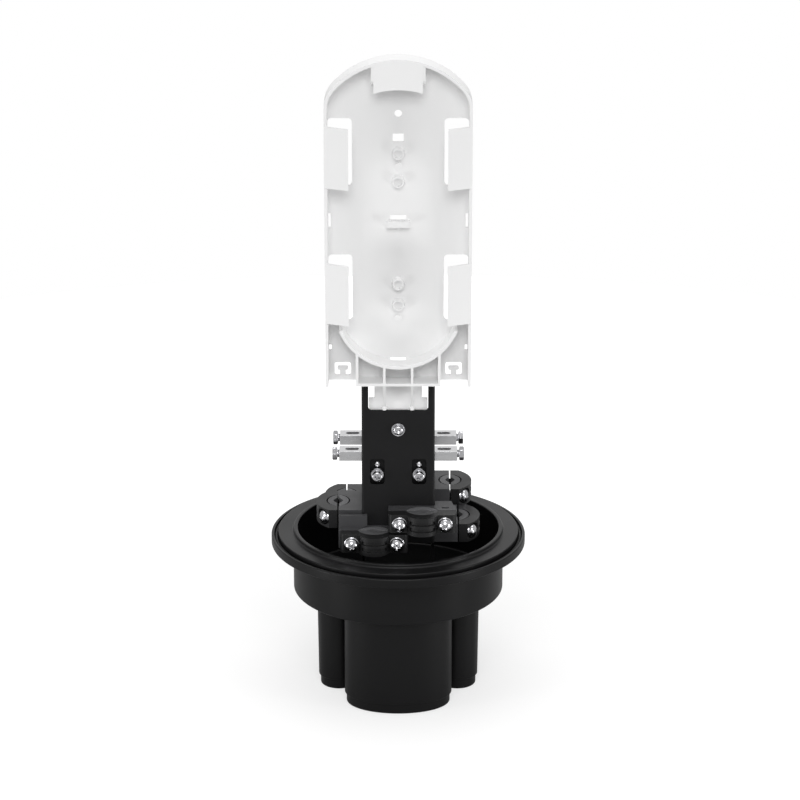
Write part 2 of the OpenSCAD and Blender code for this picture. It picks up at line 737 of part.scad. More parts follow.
module basket() {
    color([0.93, 0.93, 0.93]) difference() {
        union() {
            difference() {
                upright(-basket_rim_y, basket_depth + basket_wall) basket_outline(0);
                upright(-basket_rim_y - over, basket_depth + over) union() {
                    basket_outline(basket_wall);
                    translate([-basket_half_w + basket_wall, lip_z + basket_foot - over])
                        square([2 * (basket_half_w - basket_wall), 2 * over]);
                }
                upright(-back_y - over, basket_wall + 2 * over) basket_holes();
            }
            basket_tongue();
            basket_frame();
            basket_guide();
            basket_flaps();
            top_flap();
            basket_bosses();
        }
        // drain slot at the root of the fibre guide
        translate([-guide_slot_w / 2, -back_y - 1.5, guide_z - guide_r + 0.9])
            cube([guide_slot_w, basket_wall + 2, 2.6]);
    }
}

// Flat tongue below the tray, screwed behind the bracket's front plate
module basket_tongue() {
    upright(-back_y, basket_wall) difference() {
        union() {
            translate([-tongue_narrow, tongue_foot]) square([2 * tongue_narrow, lip_z + basket_foot - tongue_foot + over]);
            translate([-tongue_wide, tongue_foot]) square([2 * tongue_wide, tongue_step - tongue_foot]);
        }
        translate([0, basket_screw_z]) circle(r = basket_screw_r + screw_play);
    }
}

// Rectangular frame in front of the tongue, with two upright ribs that stand in the notch
module basket_frame() {
    wall = 1.8;
    top_z = lip_z + 143;
    upright(-basket_rim_y, basket_depth + over) difference() {
        translate([-frame_half_w, frame_z]) square([2 * frame_half_w, top_z - frame_z]);
        translate([-frame_half_w + wall, frame_z + wall]) square([2 * (frame_half_w - wall), top_z]);
        translate([0, guide_z]) circle(r = guide_r - 1);
    }
    for (side = [-1, 1]) {
        upright(-basket_rim_y, basket_depth + over) difference() {
            translate([side * rib_x - rib_t / 2, frame_z]) square([rib_t, 16]);
            translate([0, guide_z]) circle(r = guide_r - 1);
        }
        sideways(side * rib_x - rib_t / 2, rib_t)
            polygon([[-basket_rim_y, frame_z + over], [-back_y + over, frame_z + over],
                [-back_y + over, lip_z + notch_z + 0.3], [-bracket_front - 1, lip_z + notch_z + 0.3],
                [-bracket_front - 1, lip_z + notch_z + 3]]);
        translate([side * rib_x, -bracket_front, lip_z + notch_z + 0.3])
            translate([0, sheet_t / 2 + seat_gap, 0]) cylinder(r = 1.6, h = 2);
    }
}

// Curved fibre guide across the lower end of the tray
module basket_guide() {
    wall = 2.2;
    upright(-basket_rim_y, basket_depth + over) difference() {
        intersection() {
            translate([0, guide_z]) circle(r = guide_r);
            polygon([[0, guide_z], [-2 * guide_r * sin(guide_half_angle), guide_z - 2 * guide_r * cos(guide_half_angle)],
                [0, guide_z - 3 * guide_r],
                [2 * guide_r * sin(guide_half_angle), guide_z - 2 * guide_r * cos(guide_half_angle)]]);
        }
        translate([0, guide_z]) circle(r = guide_r - wall);
    }
}

// Four leaning flaps that keep the fibre loops in the tray
module basket_flaps() {
    t = 1.6;
    free_x = 31.2;
    for (side = [-1, 1], z = [low_flap_z, high_flap_z]) translate([0, 0, lip_z + z]) linear_extrude(flap_h)
        polygon([
            [side * basket_half_w, -basket_rim_y + 1], [side * basket_half_w, -basket_rim_y - 0.2],
            [side * free_x, -basket_rim_y - flap_lean - 0.2], [side * free_x, -basket_rim_y - flap_lean + t],
            [side * (basket_half_w - basket_wall), -basket_rim_y + t]
        ]);
}

// Flap under the crown of the arch, with a rib at each side
module top_flap() {
    half = 15.4;
    low = arch_z - 21.4;
    upright(-basket_rim_y, 1.6) difference() {
        intersection() {
            basket_outline(0.5);
            translate([-half, low]) square([2 * half, 30]);
        }
        translate([0, low + 2.2 - 52]) circle(r = 52);
    }
    for (side = [-1, 1]) sideways(side * (half + 0.8) - 0.8, 1.6)
        polygon([[-basket_rim_y + 0.4, arch_z - 4.5], [-back_y + over, arch_z - 4.5],
            [-back_y + over, low + 2], [-basket_rim_y + 1.6, low + 6], [-basket_rim_y + 0.4, low + 8]]);
}

module basket_bosses() {
    for (z = [267.2, 249, 181.4, 167.6]) translate([0, -back_y + over, lip_z + z]) rotate([90, 0, 0])
        difference() {
            cylinder(r1 = 4.4, r2 = 3.6, h = 4.5);
            translate([0, 0, 2.5]) cylinder(r = 2.6, h = 3);
        }
    for (z = [258.6, 157.9]) translate([0, -back_y + over, lip_z + z]) rotate([90, 0, 0]) cylinder(r = 2.2, h = 1.5);
    // tie loop
    difference() {
        translate([-7.2, -back_y - 5, lip_z + 219.6]) cube([14.4, 5 + over, 4]);
        translate([-4.6, -back_y - 3.4, lip_z + 219]) cube([9.2, 3.4, 6]);
    }
}

module basket_screw() {
    color([0.75, 0.75, 0.76]) translate([0, -bracket_front, basket_screw_z]) rotate([90, 0, 0])
        pan_screw(basket_screw_r, 4.4, 2.8, sheet_t + seat_gap + basket_wall + 4);
}

module basket_nut() {
    color([0.75, 0.75, 0.76]) translate([0, -back_y + basket_wall + 3.6, basket_screw_z]) rotate([90, 0, 0])
        difference() {
            cylinder(r = 4.6, h = 3.6, $fn = 6);
            translate([0, 0, -over]) cylinder(r = basket_screw_r + screw_play, h = 5);
        }
}

base();
seal_ring();
bracket();
bracket_screws();
basket();
basket_screw();
basket_nut();
front_bar();
rear_bar();
bar_lug_screws();
clamp_seat_screws();
bar_bolt(-1, 0);  // front_left_bar_bolt
bar_bolt(1, 0);  // front_right_bar_bolt
bar_bolt(-1, 1);  // rear_left_bar_bolt
bar_bolt(1, 1);  // rear_right_bar_bolt
lug_bolt(-1);  // left_lug_bolt
lug_bolt(1);  // right_lug_bolt
for (c = CLAMPS) {
    clamp_seat(c);
    clamp_cap(c);
    insert_half(c, 1);
    insert_half(c, -1);
    cap_screws(c);
}
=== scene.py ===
"""Dome splice closure, opened: moulded base with cable ports, clamps on a folded bracket, and a white
fibre basket above. Sizes are in millimetres where a name ends in _mm, and in metres elsewhere."""

import math

import bmesh
import bpy
from mathutils import Matrix, Vector


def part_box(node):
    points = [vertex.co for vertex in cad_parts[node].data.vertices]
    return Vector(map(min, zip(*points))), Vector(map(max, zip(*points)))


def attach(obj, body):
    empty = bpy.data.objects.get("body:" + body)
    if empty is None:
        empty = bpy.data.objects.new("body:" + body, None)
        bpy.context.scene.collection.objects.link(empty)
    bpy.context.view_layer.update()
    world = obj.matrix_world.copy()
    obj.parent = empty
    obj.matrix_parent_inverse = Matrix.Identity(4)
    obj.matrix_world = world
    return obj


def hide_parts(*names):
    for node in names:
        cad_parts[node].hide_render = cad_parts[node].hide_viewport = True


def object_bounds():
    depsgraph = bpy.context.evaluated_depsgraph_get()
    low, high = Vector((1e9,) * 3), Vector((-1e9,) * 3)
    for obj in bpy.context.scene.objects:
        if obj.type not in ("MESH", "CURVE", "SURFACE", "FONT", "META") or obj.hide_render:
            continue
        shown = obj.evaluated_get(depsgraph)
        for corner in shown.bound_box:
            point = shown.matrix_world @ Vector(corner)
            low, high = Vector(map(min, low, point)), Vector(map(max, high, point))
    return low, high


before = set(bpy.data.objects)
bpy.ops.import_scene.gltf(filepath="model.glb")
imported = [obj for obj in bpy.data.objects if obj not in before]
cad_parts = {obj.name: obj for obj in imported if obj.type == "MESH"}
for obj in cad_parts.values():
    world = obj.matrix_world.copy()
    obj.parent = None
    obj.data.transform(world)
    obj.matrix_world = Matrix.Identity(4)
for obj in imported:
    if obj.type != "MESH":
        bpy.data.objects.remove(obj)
cad_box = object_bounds()
scene = bpy.context.scene

# ---- Studio ----
# White floor and surroundings, a large soft light above, and two tall soft lights beside the closure
# whose long reflections draw the round walls of the base.
scene.view_settings.view_transform = "Standard"

camera_data = bpy.data.cameras.new("studio_camera")
camera_data.lens = 149.43
camera_data.sensor_width = 36
camera_data.shift_x = 0.00225
camera_data.clip_end = 20
camera = bpy.data.objects.new("studio_camera", camera_data)
camera.location = (0, -2.04666, 0.92478)
camera.rotation_euler = (math.radians(90 - 19.578), 0, 0)
scene.collection.objects.link(camera)
scene.camera = camera


def soft_light(name, place, aim, width, height, power):
    """Rectangular soft light at place, turned to face aim."""
    lamp = bpy.data.lights.new(name, "AREA")
    lamp.shape = "RECTANGLE"
    lamp.size, lamp.size_y, lamp.energy = width, height, power
    lamp_object = bpy.data.objects.new(name, lamp)
    lamp_object.location = place
    lamp_object.rotation_euler = (Vector(aim) - Vector(place)).to_track_quat("-Z", "Y").to_euler()
    scene.collection.objects.link(lamp_object)
    return lamp_object


soft_light("overhead_light", (0, 0.1, 1.5), (0, 0, 0.15), 1.0, 1.0, 6)
soft_light("left_strip_light", (-0.476, -0.275, 0.1), (0, 0, 0.08), 0.1, 0.26, 0.85)
soft_light("right_strip_light", (0.476, -0.275, 0.1), (0, 0, 0.08), 0.1, 0.26, 0.85)
soft_light("front_light", (0, -1.7, 1.5), (0, 0, 0.3), 1.0, 0.8, 16)


def shown_as_background(nodes, links):
    """1 for what the camera or clear plastic sees, 0 for every other ray, a mirror finish's included."""
    path = nodes.new("ShaderNodeLightPath")
    seen = nodes.new("ShaderNodeMath")
    seen.operation = "MAXIMUM"
    links.new(path.outputs["Is Camera Ray"], seen.inputs[0])
    links.new(path.outputs["Is Transmission Ray"], seen.inputs[1])
    return path, seen


world = bpy.data.worlds.new("studio_surroundings")
world.use_nodes = True
scene.world = world
nodes, links = world.node_tree.nodes, world.node_tree.links
nodes.clear()
path, seen = shown_as_background(nodes, links)
room = nodes.new("ShaderNodeTexCoord")
room_axes = nodes.new("ShaderNodeSeparateXYZ")
links.new(room.outputs["Generated"], room_axes.inputs[0])
behind = nodes.new("ShaderNodeMapRange")        # the wall behind the closure is white, the room in front dim
behind.interpolation_type = "SMOOTHSTEP"
behind.inputs["From Min"].default_value = 0.84
behind.inputs["From Max"].default_value = 0.93
behind.inputs["To Min"].default_value = 0.13
behind.inputs["To Max"].default_value = 1.0
links.new(room_axes.outputs["Y"], behind.inputs["Value"])
glossy = nodes.new("ShaderNodeMath")
glossy.operation = "MULTIPLY"
links.new(path.outputs["Is Glossy Ray"], glossy.inputs[0])
links.new(behind.outputs["Result"], glossy.inputs[1])
white_for = nodes.new("ShaderNodeMath")
white_for.operation = "MAXIMUM"
links.new(seen.outputs[0], white_for.inputs[0])
links.new(glossy.outputs[0], white_for.inputs[1])
strength = nodes.new("ShaderNodeMapRange")
strength.inputs["To Min"].default_value = 0.5
strength.inputs["To Max"].default_value = 1.0
links.new(white_for.outputs[0], strength.inputs["Value"])
surroundings = nodes.new("ShaderNodeBackground")
surroundings.inputs["Color"].default_value = (1, 1, 1, 1)
links.new(strength.outputs["Result"], surroundings.inputs["Strength"])
world_out = nodes.new("ShaderNodeOutputWorld")
links.new(surroundings.outputs[0], world_out.inputs["Surface"])

floor_mesh = bpy.data.meshes.new("studio_floor")
floor_bm = bmesh.new()
bmesh.ops.create_circle(floor_bm, cap_ends=True, segments=96, radius=0.9)
floor_bm.to_mesh(floor_mesh)
floor_bm.free()
floor = bpy.data.objects.new("studio_floor", floor_mesh)
floor.location = (0, 0, cad_box[0][2] - 0.0002)
scene.collection.objects.link(floor)
floor_material = bpy.data.materials.new("studio_floor_white")
floor_material.use_nodes = True
nodes, links = floor_material.node_tree.nodes, floor_material.node_tree.links
nodes.clear()
path, seen = shown_as_background(nodes, links)
dim_gloss = nodes.new("ShaderNodeMath")         # a polished part sees the floor much dimmer than the camera does
dim_gloss.operation = "MULTIPLY"
dim_gloss.inputs[1].default_value = 0.1
links.new(path.outputs["Is Glossy Ray"], dim_gloss.inputs[0])
with_gloss = nodes.new("ShaderNodeMath")
with_gloss.operation = "MAXIMUM"
links.new(seen.outputs[0], with_gloss.inputs[0])
links.new(dim_gloss.outputs[0], with_gloss.inputs[1])
matt_white = nodes.new("ShaderNodeBsdfDiffuse")
matt_white.inputs["Color"].default_value = (0.42, 0.42, 0.42, 1)
lift = nodes.new("ShaderNodeEmission")
lift.inputs["Color"].default_value = (1, 1, 1, 1)
lift_strength = nodes.new("ShaderNodeMath")
lift_strength.operation = "MULTIPLY"
floor_place = nodes.new("ShaderNodeTexCoord")
from_middle = nodes.new("ShaderNodeVectorMath")
from_middle.operation = "LENGTH"
links.new(floor_place.outputs["Object"], from_middle.inputs[0])
fade = nodes.new("ShaderNodeMapRange")          # the floor runs out into plain white
fade.interpolation_type = "SMOOTHSTEP"
fade.inputs["From Min"].default_value = 0.2
fade.inputs["From Max"].default_value = 0.42
fade.inputs["To Min"].default_value = 0.63
fade.inputs["To Max"].default_value = 1.0
links.new(from_middle.outputs["Value"], fade.inputs["Value"])
links.new(fade.outputs["Result"], lift_strength.inputs[1])
links.new(with_gloss.outputs[0], lift_strength.inputs[0])
links.new(lift_strength.outputs[0], lift.inputs["Strength"])
floor_sum = nodes.new("ShaderNodeAddShader")
links.new(matt_white.outputs[0], floor_sum.inputs[0])
links.new(lift.outputs[0], floor_sum.inputs[1])
floor_out = nodes.new("ShaderNodeOutputMaterial")
links.new(floor_sum.outputs[0], floor_out.inputs["Surface"])
floor_mesh.materials.append(floor_material)

# ---- Base ----
# The closure's lower half: one black polypropylene moulding with a flange for the dome, a seal groove,
# a raised rim, a bowl, and an oval and four round cable ports with closed ends that are cut off in use.
base_lo, base_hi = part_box("base")
rim_rise_mm, bowl_depth_mm, flange_h_mm = 4.4, 38.2, 6
lip_mm = base_hi[2] * 1000 - rim_rise_mm
flange_r_mm = base_hi[0] * 1000
bowl_r_mm, bowl_wall_mm = 69.5, 3
groove_out_mm, groove_in_mm, groove_depth_mm, deck_rise_mm = flange_r_mm - 2, flange_r_mm - 4.6, 3.4, 2
floor_mm = lip_mm - bowl_depth_mm + 3
root_mm = lip_mm - bowl_depth_mm
port_cap_mm, port_step_mm, port_wall_mm = 7, 1.2, 2.4
oval_mm = (35.3, 23.3)
round_port_mm, round_draft_mm = 14.3, 0.7
round_places_mm = [(-39.4, -10), (39.4, -10), (-34.6, 28), (34.6, 28)]
boss_places_mm = [(x, y) for x in (-15, 15) for y in (-9, 9)]


def rounded(points, radii, steps=4):
    """Outline with each corner replaced by an arc; radii gives one radius for each point, 0 keeps it sharp."""
    out = []
    for i, (corner, radius) in enumerate(zip(points, radii)):
        here = Vector(corner)
        before, after = Vector(points[i - 1]), Vector(points[(i + 1) % len(points)])
        if radius <= 0:
            out.append(tuple(here))
            continue
        to_before, to_after = (before - here), (after - here)
        turn = to_before.angle(to_after)
        reach = min(radius / math.tan(turn / 2), to_before.length * 0.49, to_after.length * 0.49)
        radius = reach * math.tan(turn / 2)
        centre = here + (to_before.normalized() + to_after.normalized()).normalized() * radius / math.sin(turn / 2)
        start = here + to_before.normalized() * reach - centre
        end = here + to_after.normalized() * reach - centre
        sweep = start.angle_signed(end)
        for k in range(steps + 1):
            a = -sweep * k / steps
            out.append((centre.x + start.x * math.cos(a) - start.y * math.sin(a),
                        centre.y + start.x * math.sin(a) + start.y * math.cos(a)))
    return out


def turned(bm, profile_mm, steps, centre_mm=(0, 0), oval=(0, 0)):
    """Adds a closed turned or oval shell; the profile holds (radius, height) and may start and end on the axis."""
    rings = []
    for radius, height in profile_mm:
        if radius <= 1e-6 and oval == (0, 0):
            rings.append([bm.verts.new((centre_mm[0] / 1000, centre_mm[1] / 1000, height / 1000))])
            continue
        rings.append([bm.verts.new(((centre_mm[0] + (oval[0] + radius) * math.cos(a)) / 1000,
                                    (centre_mm[1] + (oval[1] + radius) * math.sin(a)) / 1000, height / 1000))
                      for a in (2 * math.pi * k / steps for k in range(steps))])
    for low, high in zip(rings, rings[1:]):
        for k in range(steps):
            n = (k + 1) % steps
            if len(low) == 1 and len(high) == 1:
                continue
            if len(low) == 1:
                bm.faces.new((low[0], high[n], high[k]))
            elif len(high) == 1:
                bm.faces.new((low[k], low[n], high[0]))
            else:
                bm.faces.new((low[k], low[n], high[n], high[k]))
    for ring in (rings[0], rings[-1]):
        if len(ring) > 1:
            bm.faces.new(ring)


def mesh_object(name, bm):
    """Object at the origin from a finished bmesh, with its faces turned outwards."""
    bmesh.ops.recalc_face_normals(bm, faces=bm.faces)
    mesh = bpy.data.meshes.new(name)
    bm.to_mesh(mesh)
    bm.free()
    piece = bpy.data.objects.new(name, mesh)
    scene.collection.objects.link(piece)
    return piece


def settled(piece, sharp_deg=38, even=True):
    """Applies a piece's modifiers, after adding weighted normals that keep its sharp edges crisp when even is set."""
    if even:
        piece.modifiers.new("even_shading", "WEIGHTED_NORMAL").keep_sharp = True
    bpy.context.view_layer.update()
    plain = bpy.data.meshes.new_from_object(piece.evaluated_get(bpy.context.evaluated_depsgraph_get()))
    plain.name = piece.name
    piece.modifiers.clear()
    piece.data = plain
    return piece


def crisp(piece, sharp_deg=38):
    """Smooth shading that breaks at edges sharper than sharp_deg."""
    piece.data.shade_smooth()
    piece.data.set_sharp_from_angle(angle=math.radians(sharp_deg))


def columns(name, shells):
    """One object of several closed columns: each shell is (profile, centre, oval)."""
    bm = bmesh.new()
    for profile, centre, oval in shells:
        turned(bm, profile, 160 if oval != (0, 0) else 96, centre, oval)
    return mesh_object(name, bm)


deck_mm = lip_mm + deck_rise_mm
bowl_outline = rounded(
    [(bowl_r_mm - 9, root_mm), (bowl_r_mm, root_mm), (bowl_r_mm, lip_mm - flange_h_mm), (flange_r_mm, lip_mm - flange_h_mm),
     (flange_r_mm, lip_mm), (groove_out_mm, lip_mm), (groove_out_mm, lip_mm - groove_depth_mm),
     (groove_in_mm, lip_mm - groove_depth_mm), (groove_in_mm, deck_mm), (bowl_r_mm - 0.2, deck_mm),
     (bowl_r_mm - 0.2, lip_mm + rim_rise_mm), (bowl_r_mm - bowl_wall_mm, lip_mm + rim_rise_mm),
     (bowl_r_mm - bowl_wall_mm, floor_mm), (bowl_r_mm - bowl_wall_mm - 9, floor_mm)],
    [0, 1.1, 0.8, 0.6, 0.7, 0.35, 0, 0, 0.6, 1.8, 0.7, 0.6, 1.5, 0])
bowl_bm = bmesh.new()
turned(bowl_bm, [(0, root_mm)] + bowl_outline + [(0, floor_mm)], 224)
base = mesh_object("base_moulding", bowl_bm)

oval_column = rounded([(-port_step_mm - 6, 0), (-port_step_mm, 0), (-port_step_mm, port_cap_mm), (0, port_cap_mm), (0, root_mm - 2.2),
                       (1.4, root_mm), (1.4, root_mm + 1)], [0, 1.4, 0.3, 0.5, 1.5, 0.5, 0])
round_cap_mm = round_port_mm - round_draft_mm - port_step_mm
round_column = rounded([(round_cap_mm - 6, 0), (round_cap_mm, 0), (round_cap_mm, port_cap_mm), (round_cap_mm + port_step_mm, port_cap_mm),
                        (round_port_mm, root_mm - 2), (round_port_mm + 1.2, root_mm),
                        (round_port_mm + 1.2, root_mm + 1)], [0, 1.3, 0.3, 0.5, 1.3, 0.5, 0])
ports = columns("port_walls", [(oval_column, (0, -40), oval_mm)]
                + [(round_column, place, (0, 0)) for place in round_places_mm]
                + [([(4.5, floor_mm - 1), (4.5, floor_mm + 3.6), (4.1, floor_mm + 4)], place, (0, 0))
                   for place in boss_places_mm])
oval_bore = [(-port_step_mm - port_wall_mm, port_wall_mm), (-port_step_mm - port_wall_mm, floor_mm - 0.5),
             (-port_step_mm - port_wall_mm + 0.9, floor_mm + 0.4)]
round_bore = [(round_cap_mm - port_wall_mm, port_wall_mm), (round_cap_mm - port_wall_mm, floor_mm - 0.5),
              (round_cap_mm - port_wall_mm + 0.9, floor_mm + 0.4)]
bores = columns("port_bores", [(oval_bore, (0, -40), oval_mm)]
                + [(round_bore, place, (0, 0)) for place in round_places_mm])
for operation, tool in (("UNION", ports), ("DIFFERENCE", bores)):
    cut = base.modifiers.new(operation.lower(), "BOOLEAN")
    cut.operation, cut.object, cut.solver = operation, tool, "EXACT"
settled(base, even=False)
crisp(base, 35)
settled(base)
for tool in (ports, bores):
    bpy.data.objects.remove(tool)


def make_group(name, inputs, outputs):
    """Empty shader group with its named sockets; each input is (name, type, value)."""
    group = bpy.data.node_groups.new(name, "ShaderNodeTree")
    for label, kind, value in inputs:
        socket = group.interface.new_socket(label, in_out="INPUT", socket_type=kind)
        if value is not None:
            socket.default_value = value
    for label, kind in outputs:
        group.interface.new_socket(label, in_out="OUTPUT", socket_type=kind)
    return group, group.nodes.new("NodeGroupInput"), group.nodes.new("NodeGroupOutput")


# fine grain of a moulded or coated skin, with slow waves and faint flow marks below it
skin_group, skin_in, skin_out = make_group(
    "moulded_skin",
    [("Vector", "NodeSocketVector", None), ("Grain", "NodeSocketFloat", 2500.0),
     ("Wave", "NodeSocketFloat", 40.0), ("Wave Share", "NodeSocketFloat", 0.3)],
    [("Height", "NodeSocketFloat"), ("Tone", "NodeSocketFloat")])
nodes, links = skin_group.nodes, skin_group.links
fine = nodes.new("ShaderNodeTexNoise")
fine.inputs["Detail"].default_value = 3
slow = nodes.new("ShaderNodeTexNoise")
slow.inputs["Detail"].default_value = 2
slow.inputs["Roughness"].default_value = 0.4
for noise, size in ((fine, "Grain"), (slow, "Wave")):
    links.new(skin_in.outputs["Vector"], noise.inputs["Vector"])
    links.new(skin_in.outputs[size], noise.inputs["Scale"])
blend_height = nodes.new("ShaderNodeMix")
links.new(skin_in.outputs["Wave Share"], blend_height.inputs["Factor"])
links.new(fine.outputs["Fac"], blend_height.inputs["A"])
links.new(slow.outputs["Fac"], blend_height.inputs["B"])
links.new(blend_height.outputs["Result"], skin_out.inputs["Height"])
links.new(slow.outputs["Fac"], skin_out.inputs["Tone"])

# where edges rub: strongest on outside corners, broken up by noise
rub_group, rub_in, rub_out = make_group(
    "edge_rub",
    [("Vector", "NodeSocketVector", None), ("Width", "NodeSocketFloat", 0.0006),
     ("Amount", "NodeSocketFloat", 0.5)],
    [("Mask", "NodeSocketFloat")])
nodes, links = rub_group.nodes, rub_group.links
rub_round = nodes.new("ShaderNodeBevel")
rub_round.samples = 4
links.new(rub_in.outputs["Width"], rub_round.inputs["Radius"])
rub_face = nodes.new("ShaderNodeNewGeometry")
rub_dot = nodes.new("ShaderNodeVectorMath")
rub_dot.operation = "DOT_PRODUCT"
links.new(rub_round.outputs["Normal"], rub_dot.inputs[0])
links.new(rub_face.outputs["Normal"], rub_dot.inputs[1])
rub_edge = nodes.new("ShaderNodeMapRange")
rub_edge.inputs["From Min"].default_value = 0.985
rub_edge.inputs["From Max"].default_value = 0.8
links.new(rub_dot.outputs["Value"], rub_edge.inputs["Value"])
rub_noise = nodes.new("ShaderNodeTexNoise")
rub_noise.inputs["Scale"].default_value = 220
links.new(rub_in.outputs["Vector"], rub_noise.inputs["Vector"])
rub_broken = nodes.new("ShaderNodeMath")
rub_broken.operation = "MULTIPLY"
links.new(rub_edge.outputs["Result"], rub_broken.inputs[0])
links.new(rub_noise.outputs["Fac"], rub_broken.inputs[1])
rub_amount = nodes.new("ShaderNodeMath")
rub_amount.operation = "MULTIPLY"
links.new(rub_broken.outputs[0], rub_amount.inputs[0])
links.new(rub_in.outputs["Amount"], rub_amount.inputs[1])
links.new(rub_amount.outputs[0], rub_out.inputs["Mask"])


def skinned_finish(name, colour, rubbed, rough, grain, wave, wave_share, depth_mm, rub_amount, shine,
                   rough_spread=0.05, tone_spread=0.12):
    """Moulded or coated finish: colour and roughness vary with the skin, and edges are a little rubbed."""
    material = bpy.data.materials.new(name)
    material.use_nodes = True
    nodes, links = material.node_tree.nodes, material.node_tree.links
    surface = nodes["Principled BSDF"]
    surface.inputs["Specular IOR Level"].default_value = shine
    place = nodes.new("ShaderNodeTexCoord")
    skin = nodes.new("ShaderNodeGroup")
    skin.node_tree = skin_group
    skin.inputs["Grain"].default_value = grain
    skin.inputs["Wave"].default_value = wave
    skin.inputs["Wave Share"].default_value = wave_share
    rub = nodes.new("ShaderNodeGroup")
    rub.node_tree = rub_group
    rub.inputs["Amount"].default_value = rub_amount
    links.new(place.outputs["Object"], skin.inputs["Vector"])
    links.new(place.outputs["Object"], rub.inputs["Vector"])
    tone = nodes.new("ShaderNodeMix")
    tone.data_type = "RGBA"
    tone.inputs["A"].default_value = [c * (1 - tone_spread) for c in colour] + [1]
    tone.inputs["B"].default_value = [min(c * (1 + tone_spread), 1) for c in colour] + [1]
    links.new(skin.outputs["Tone"], tone.inputs["Factor"])
    worn = nodes.new("ShaderNodeMix")
    worn.data_type = "RGBA"
    worn.inputs["B"].default_value = list(rubbed) + [1]
    links.new(rub.outputs["Mask"], worn.inputs["Factor"])
    links.new(tone.outputs["Result"], worn.inputs["A"])
    links.new(worn.outputs["Result"], surface.inputs["Base Color"])
    roughness = nodes.new("ShaderNodeMapRange")
    roughness.inputs["From Min"].default_value = 0.3
    roughness.inputs["From Max"].default_value = 0.7
    roughness.inputs["To Min"].default_value = rough - rough_spread
    roughness.inputs["To Max"].default_value = rough + rough_spread
    links.new(skin.outputs["Tone"], roughness.inputs["Value"])
    links.new(roughness.outputs["Result"], surface.inputs["Roughness"])
    bump = nodes.new("ShaderNodeBump")
    bump.inputs["Strength"].default_value = 0.35
    bump.inputs["Distance"].default_value = depth_mm / 1000
    links.new(skin.outputs["Height"], bump.inputs["Height"])
    links.new(bump.outputs["Normal"], surface.inputs["Normal"])
    return material


def dress(piece, material):
    """Gives a piece its only material."""
    piece.data.materials.clear()
    piece.data.materials.append(material)


housing_black = skinned_finish("housing_black", (0.0045, 0.0045, 0.0048), (0.03, 0.03, 0.03), 0.36, 2200, 18, 0.15,
                               0.05, 0.35, 0.24)
dress(base, housing_black)
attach(base, "closure")
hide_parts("base")

# ---- Seal ring ----
# A round silicone cord joined into a ring, lying in the groove of the flange. It keeps the faint
# mould line of an extruded section.
seal_lo, seal_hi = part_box("seal_ring")
seal_r_mm = (seal_hi[2] - seal_lo[2]) * 500
seal_mid_mm = seal_hi[0] * 1000 - seal_r_mm
seal_bm = bmesh.new()
seal_section = [(seal_mid_mm + seal_r_mm * math.cos(a) * (1 - 0.04 * (k == 4)),
                 seal_lo[2] * 1000 + seal_r_mm + seal_r_mm * math.sin(a) * (1 - 0.04 * (k == 4)))
                for k, a in enumerate(2 * math.pi * k / 16 for k in range(16))]
seal_rings = [[seal_bm.verts.new((r * math.cos(a) / 1000, r * math.sin(a) / 1000, z / 1000))
               for r, z in seal_section] for a in (2 * math.pi * k / 200 for k in range(200))]
for k, ring in enumerate(seal_rings):
    following = seal_rings[(k + 1) % len(seal_rings)]
    for j in range(16):
        seal_bm.faces.new((ring[j], following[j], following[(j + 1) % 16], ring[(j + 1) % 16]))
seal = mesh_object("seal_cord_ring", seal_bm)
crisp(seal, 60)
dress(seal, skinned_finish("seal_silicone", (0.012, 0.012, 0.012), (0.03, 0.03, 0.03), 0.55, 3000, 60, 0.3,
                           0.03, 0.1, 0.3))
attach(seal, "closure")
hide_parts("seal_ring")

# ---- Bracket ----
# One sheet of steel, cut, folded on both sides and powder coated black. It stands on four bosses of
# the bowl floor and carries the clamps, the two bars and the basket.


def pressed(node, name, corner_mm, sharp_deg=32, segments=2):
    """Piece on a solid of the frame, with the small rounds that tools leave on its corners."""
    bm = bmesh.new()
    bm.from_mesh(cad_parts[node].data)
    bmesh.ops.remove_doubles(bm, verts=bm.verts, dist=2e-6)
    bmesh.ops.dissolve_limit(bm, angle_limit=math.radians(0.4), verts=bm.verts, edges=bm.edges)
    mesh = bpy.data.meshes.new(name)
    bm.to_mesh(mesh)
    bm.free()
    piece = bpy.data.objects.new(name, mesh)
    scene.collection.objects.link(piece)
    crisp(piece, sharp_deg)
    corner = piece.modifiers.new("corner", "BEVEL")
    corner.width = corner_mm / 1000
    corner.segments = segments
    corner.limit_method = "ANGLE"
    corner.angle_limit = math.radians(sharp_deg)
    corner.harden_normals = True
    corner.miter_outer = "MITER_ARC"
    return settled(piece)


bracket = pressed("bracket", "bracket_sheet", 0.22)
powder_coat = skinned_finish("powder_coat_black", (0.0075, 0.0075, 0.008), (0.05, 0.05, 0.05), 0.5, 900, 90, 0.35,
                             0.06, 0.3, 0.22)
dress(bracket, powder_coat)
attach(bracket, "closure")
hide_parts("bracket")

# ---- Pan head screws of the bracket and the seats ----
# Zinc plated steel screws with a cross recess: four hold the bracket's feet on the floor bosses, and
# two hold each clamp seat on the bracket from inside. Their heads end at odd angles, as tightened.


